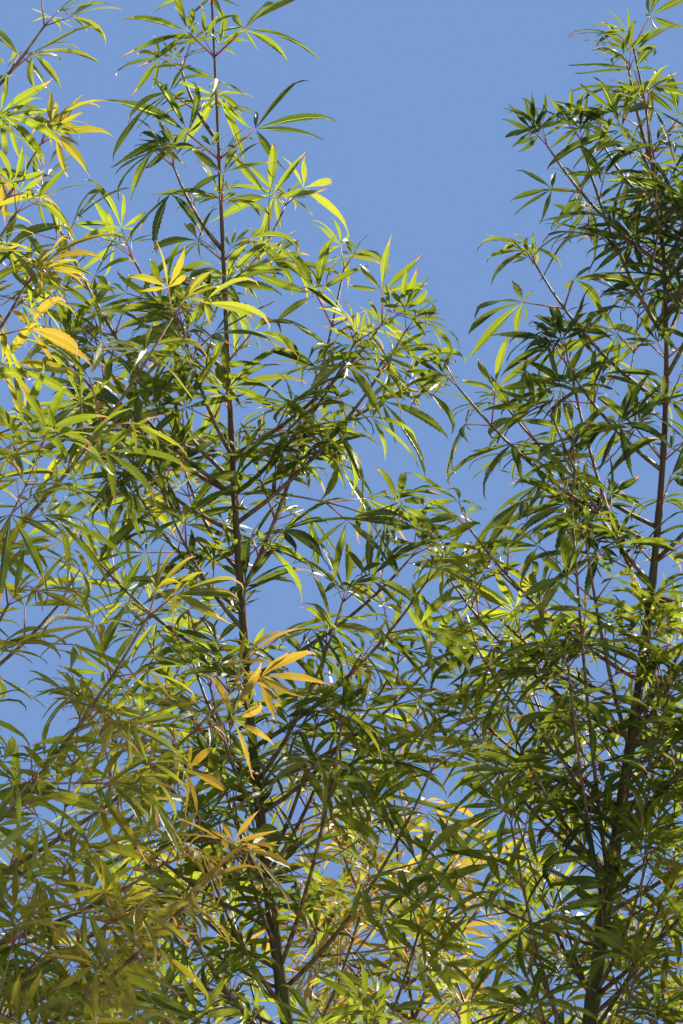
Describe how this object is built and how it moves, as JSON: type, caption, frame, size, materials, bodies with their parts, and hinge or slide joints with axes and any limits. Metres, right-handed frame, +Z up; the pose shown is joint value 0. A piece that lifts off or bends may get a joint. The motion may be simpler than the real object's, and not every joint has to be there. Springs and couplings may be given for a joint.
{
  "type": "japanese maple tree",
  "caption": "Small upright Japanese maple: a short trunk forking low into slender leaders, with narrow five-lobed leaves in opposite pairs.",
  "frame": {"origin": "centre of the flat cut under the trunk, at ground level", "axes": "+Z up along the trunk, +X to the right and +Y away from a viewer who sees the tree as the picture does"},
  "size_m": [2.5023, 2.3733, 3.373],
  "materials": {
    "trunk_bark": "rough grey-brown bark",
    "green_bark": "satin olive-green bark",
    "leaf_green": "satin leaf",
    "leaf_gold": "satin leaf"
  },
  "bodies": {
    "root": {"trunk": "trunk_bark", "limb_left": "green_bark", "limb_right": "green_bark", "limb_back": "green_bark", "bough_west": "green_bark", "bough_front_left": "green_bark", "bough_east": "green_bark", "bough_front_right": "green_bark", "bough_back_left": "green_bark", "bough_back_right": "green_bark", "side_bough_front": "green_bark", "side_bough_front_left": "green_bark", "side_bough_west": "green_bark", "side_bough_back_left": "green_bark", "side_bough_back": "green_bark", "side_bough_back_right": "green_bark", "side_bough_east": "green_bark", "side_bough_front_right": "green_bark", "mid_bough_front": "green_bark", "mid_bough_right": "green_bark", "left_crown": "leaf_green", "right_crown": "leaf_green", "back_crown": "leaf_gold", "west_crown": "leaf_green", "front_left_crown": "leaf_gold", "east_crown": "leaf_green", "front_right_crown": "leaf_green", "back_left_crown": "leaf_gold", "back_right_crown": "leaf_green", "front_mass": "leaf_green", "front_left_mass": "leaf_green", "west_mass": "leaf_green", "back_left_mass": "leaf_green", "back_mass": "leaf_green", "back_right_mass": "leaf_green", "east_mass": "leaf_green", "front_right_mass": "leaf_green", "mid_front_mass": "leaf_green", "mid_right_mass": "leaf_green"}
  },
  "joints": []
}
